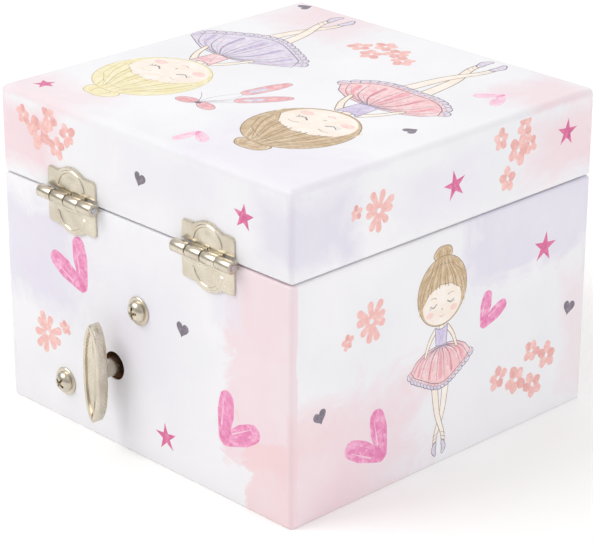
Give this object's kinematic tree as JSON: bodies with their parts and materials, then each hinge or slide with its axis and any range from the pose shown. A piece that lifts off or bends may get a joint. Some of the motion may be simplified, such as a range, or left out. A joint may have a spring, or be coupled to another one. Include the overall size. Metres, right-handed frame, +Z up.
{
  "type": "ballerina jewellery box",
  "caption": "Square paper-covered jewellery box with a hinged lid, mirror, turning dancer and wind-up musical movement.",
  "frame": {"origin": "centre of the box's underside, on the surface it stands on", "axes": "+Z up, -Y the side that opens, +Y the hinge and key side, +X to the right seen from the opening side"},
  "size_m": [0.1, 0.1074, 0.0813],
  "materials": {
    "mdf": "raw fibreboard",
    "printed_paper": "satin printed paper with a watercolour pattern",
    "plain_paper": "matt",
    "flocked_lining": "short pink flock",
    "mirror_glass": "silvered glass",
    "nickel_plate": "warm nickel plate",
    "zinc_casting": "die-cast, plated",
    "spring_steel": "blued grey spring steel",
    "bright_steel": "turned and pressed steel",
    "brass": "satin",
    "white_plastic": "moulded",
    "figurine_plastic": "moulded and painted",
    "tulle": "layered net",
    "rubber": "matt"
  },
  "bodies": {
    "body": {"body_floor": "mdf", "body_front_wall": "mdf", "body_rear_wall": "mdf", "body_left_wall": "mdf", "body_right_wall": "mdf", "body_wrap": "printed_paper", "base_paper": "plain_paper", "movement_partition": "mdf", "stage_board": "mdf", "compartment_lining": "flocked_lining", "stage_lining": "flocked_lining", "hinge_body_leaf_left": "nickel_plate", "hinge_body_leaf_right": "nickel_plate", "hinge_pin_left": "nickel_plate", "hinge_pin_right": "nickel_plate", "movement_base": "zinc_casting", "movement_screws": "nickel_plate", "screw_washers": "nickel_plate", "spring_barrel": "zinc_casting", "barrel_cover": "zinc_casting", "mainspring": "spring_steel", "comb": "bright_steel", "comb_screws": "bright_steel", "governor_bracket": "bright_steel", "bracket_screws": "bright_steel", "spindle_bracket": "bright_steel", "stop_bush": "bright_steel", "stop_spring": "spring_steel"},
    "lid": {"lid_top_board": "mdf", "lid_front_wall": "mdf", "lid_rear_wall": "mdf", "lid_left_wall": "mdf", "lid_right_wall": "mdf", "lid_wrap": "printed_paper", "lid_lining": "flocked_lining", "mirror_pad": "flocked_lining", "mirror": "mirror_glass", "hinge_lid_leaf_left": "nickel_plate", "hinge_lid_leaf_right": "nickel_plate"},
    "winding_train": {"winding_key": "nickel_plate", "winding_arbor": "bright_steel", "arbor_clip": "spring_steel", "drive_wheel": "brass", "clutch_spring": "spring_steel"},
    "cylinder": {"music_cylinder": "brass", "cylinder_pins": "brass", "cylinder_arbor": "bright_steel", "great_gear": "brass"},
    "governor": {"governor_arbor": "bright_steel", "worm_wheel": "brass"},
    "fly": {"fly_worm": "bright_steel", "fly_fan": "white_plastic"},
    "dancer": {"spindle": "bright_steel", "figurine_base": "figurine_plastic", "figurine_body": "figurine_plastic", "figurine_tutu": "tulle"},
    "stop": {"stop_rod": "bright_steel", "stop_pad": "rubber"}
  },
  "joints": [
    {"name": "lid_hinge", "type": "hinge", "parent": "body", "child": "lid", "pos_m": [0, 0.0518, 0.05925], "axis": [-1, 0, 0], "range_deg": [0, 100]},
    {"name": "cylinder_spin", "type": "hinge", "parent": "body", "child": "cylinder", "pos_m": [-0.0142, 0.0355, 0.0206], "axis": [1, 0, 0], "continuous": true},
    {"name": "key_spin", "type": "hinge", "parent": "body", "child": "winding_train", "pos_m": [0.0104, 0.03235, 0.0206], "axis": [0, 1, 0], "continuous": true},
    {"name": "governor_spin", "type": "hinge", "parent": "body", "child": "governor", "pos_m": [-0.023, 0.0355, 0.0116], "axis": [1, 0, 0], "continuous": true},
    {"name": "fly_spin", "type": "hinge", "parent": "body", "child": "fly", "pos_m": [-0.02465, 0.029, 0.0116], "axis": [0, 0, 1], "continuous": true},
    {"name": "dancer_spin", "type": "hinge", "parent": "body", "child": "dancer", "pos_m": [0.0104, 0.0272, 0.044], "axis": [0, 0, 1], "continuous": true},
    {"name": "stop_slide", "type": "slide", "parent": "body", "child": "stop", "axis": [0, 0, 1], "range_m": [0, 0.003], "deforming": ["stop_spring"]}
  ],
  "couplings": [
    {"joint": "key_spin", "follows": "cylinder_spin", "ratio": -0.18518},
    {"joint": "governor_spin", "follows": "cylinder_spin", "ratio": -3.5},
    {"joint": "fly_spin", "follows": "cylinder_spin", "ratio": -70},
    {"joint": "dancer_spin", "follows": "cylinder_spin", "ratio": 0.83333},
    {"joint": "stop_slide", "follows": "lid_hinge", "m_per_rad": 0.001718}
  ]
}
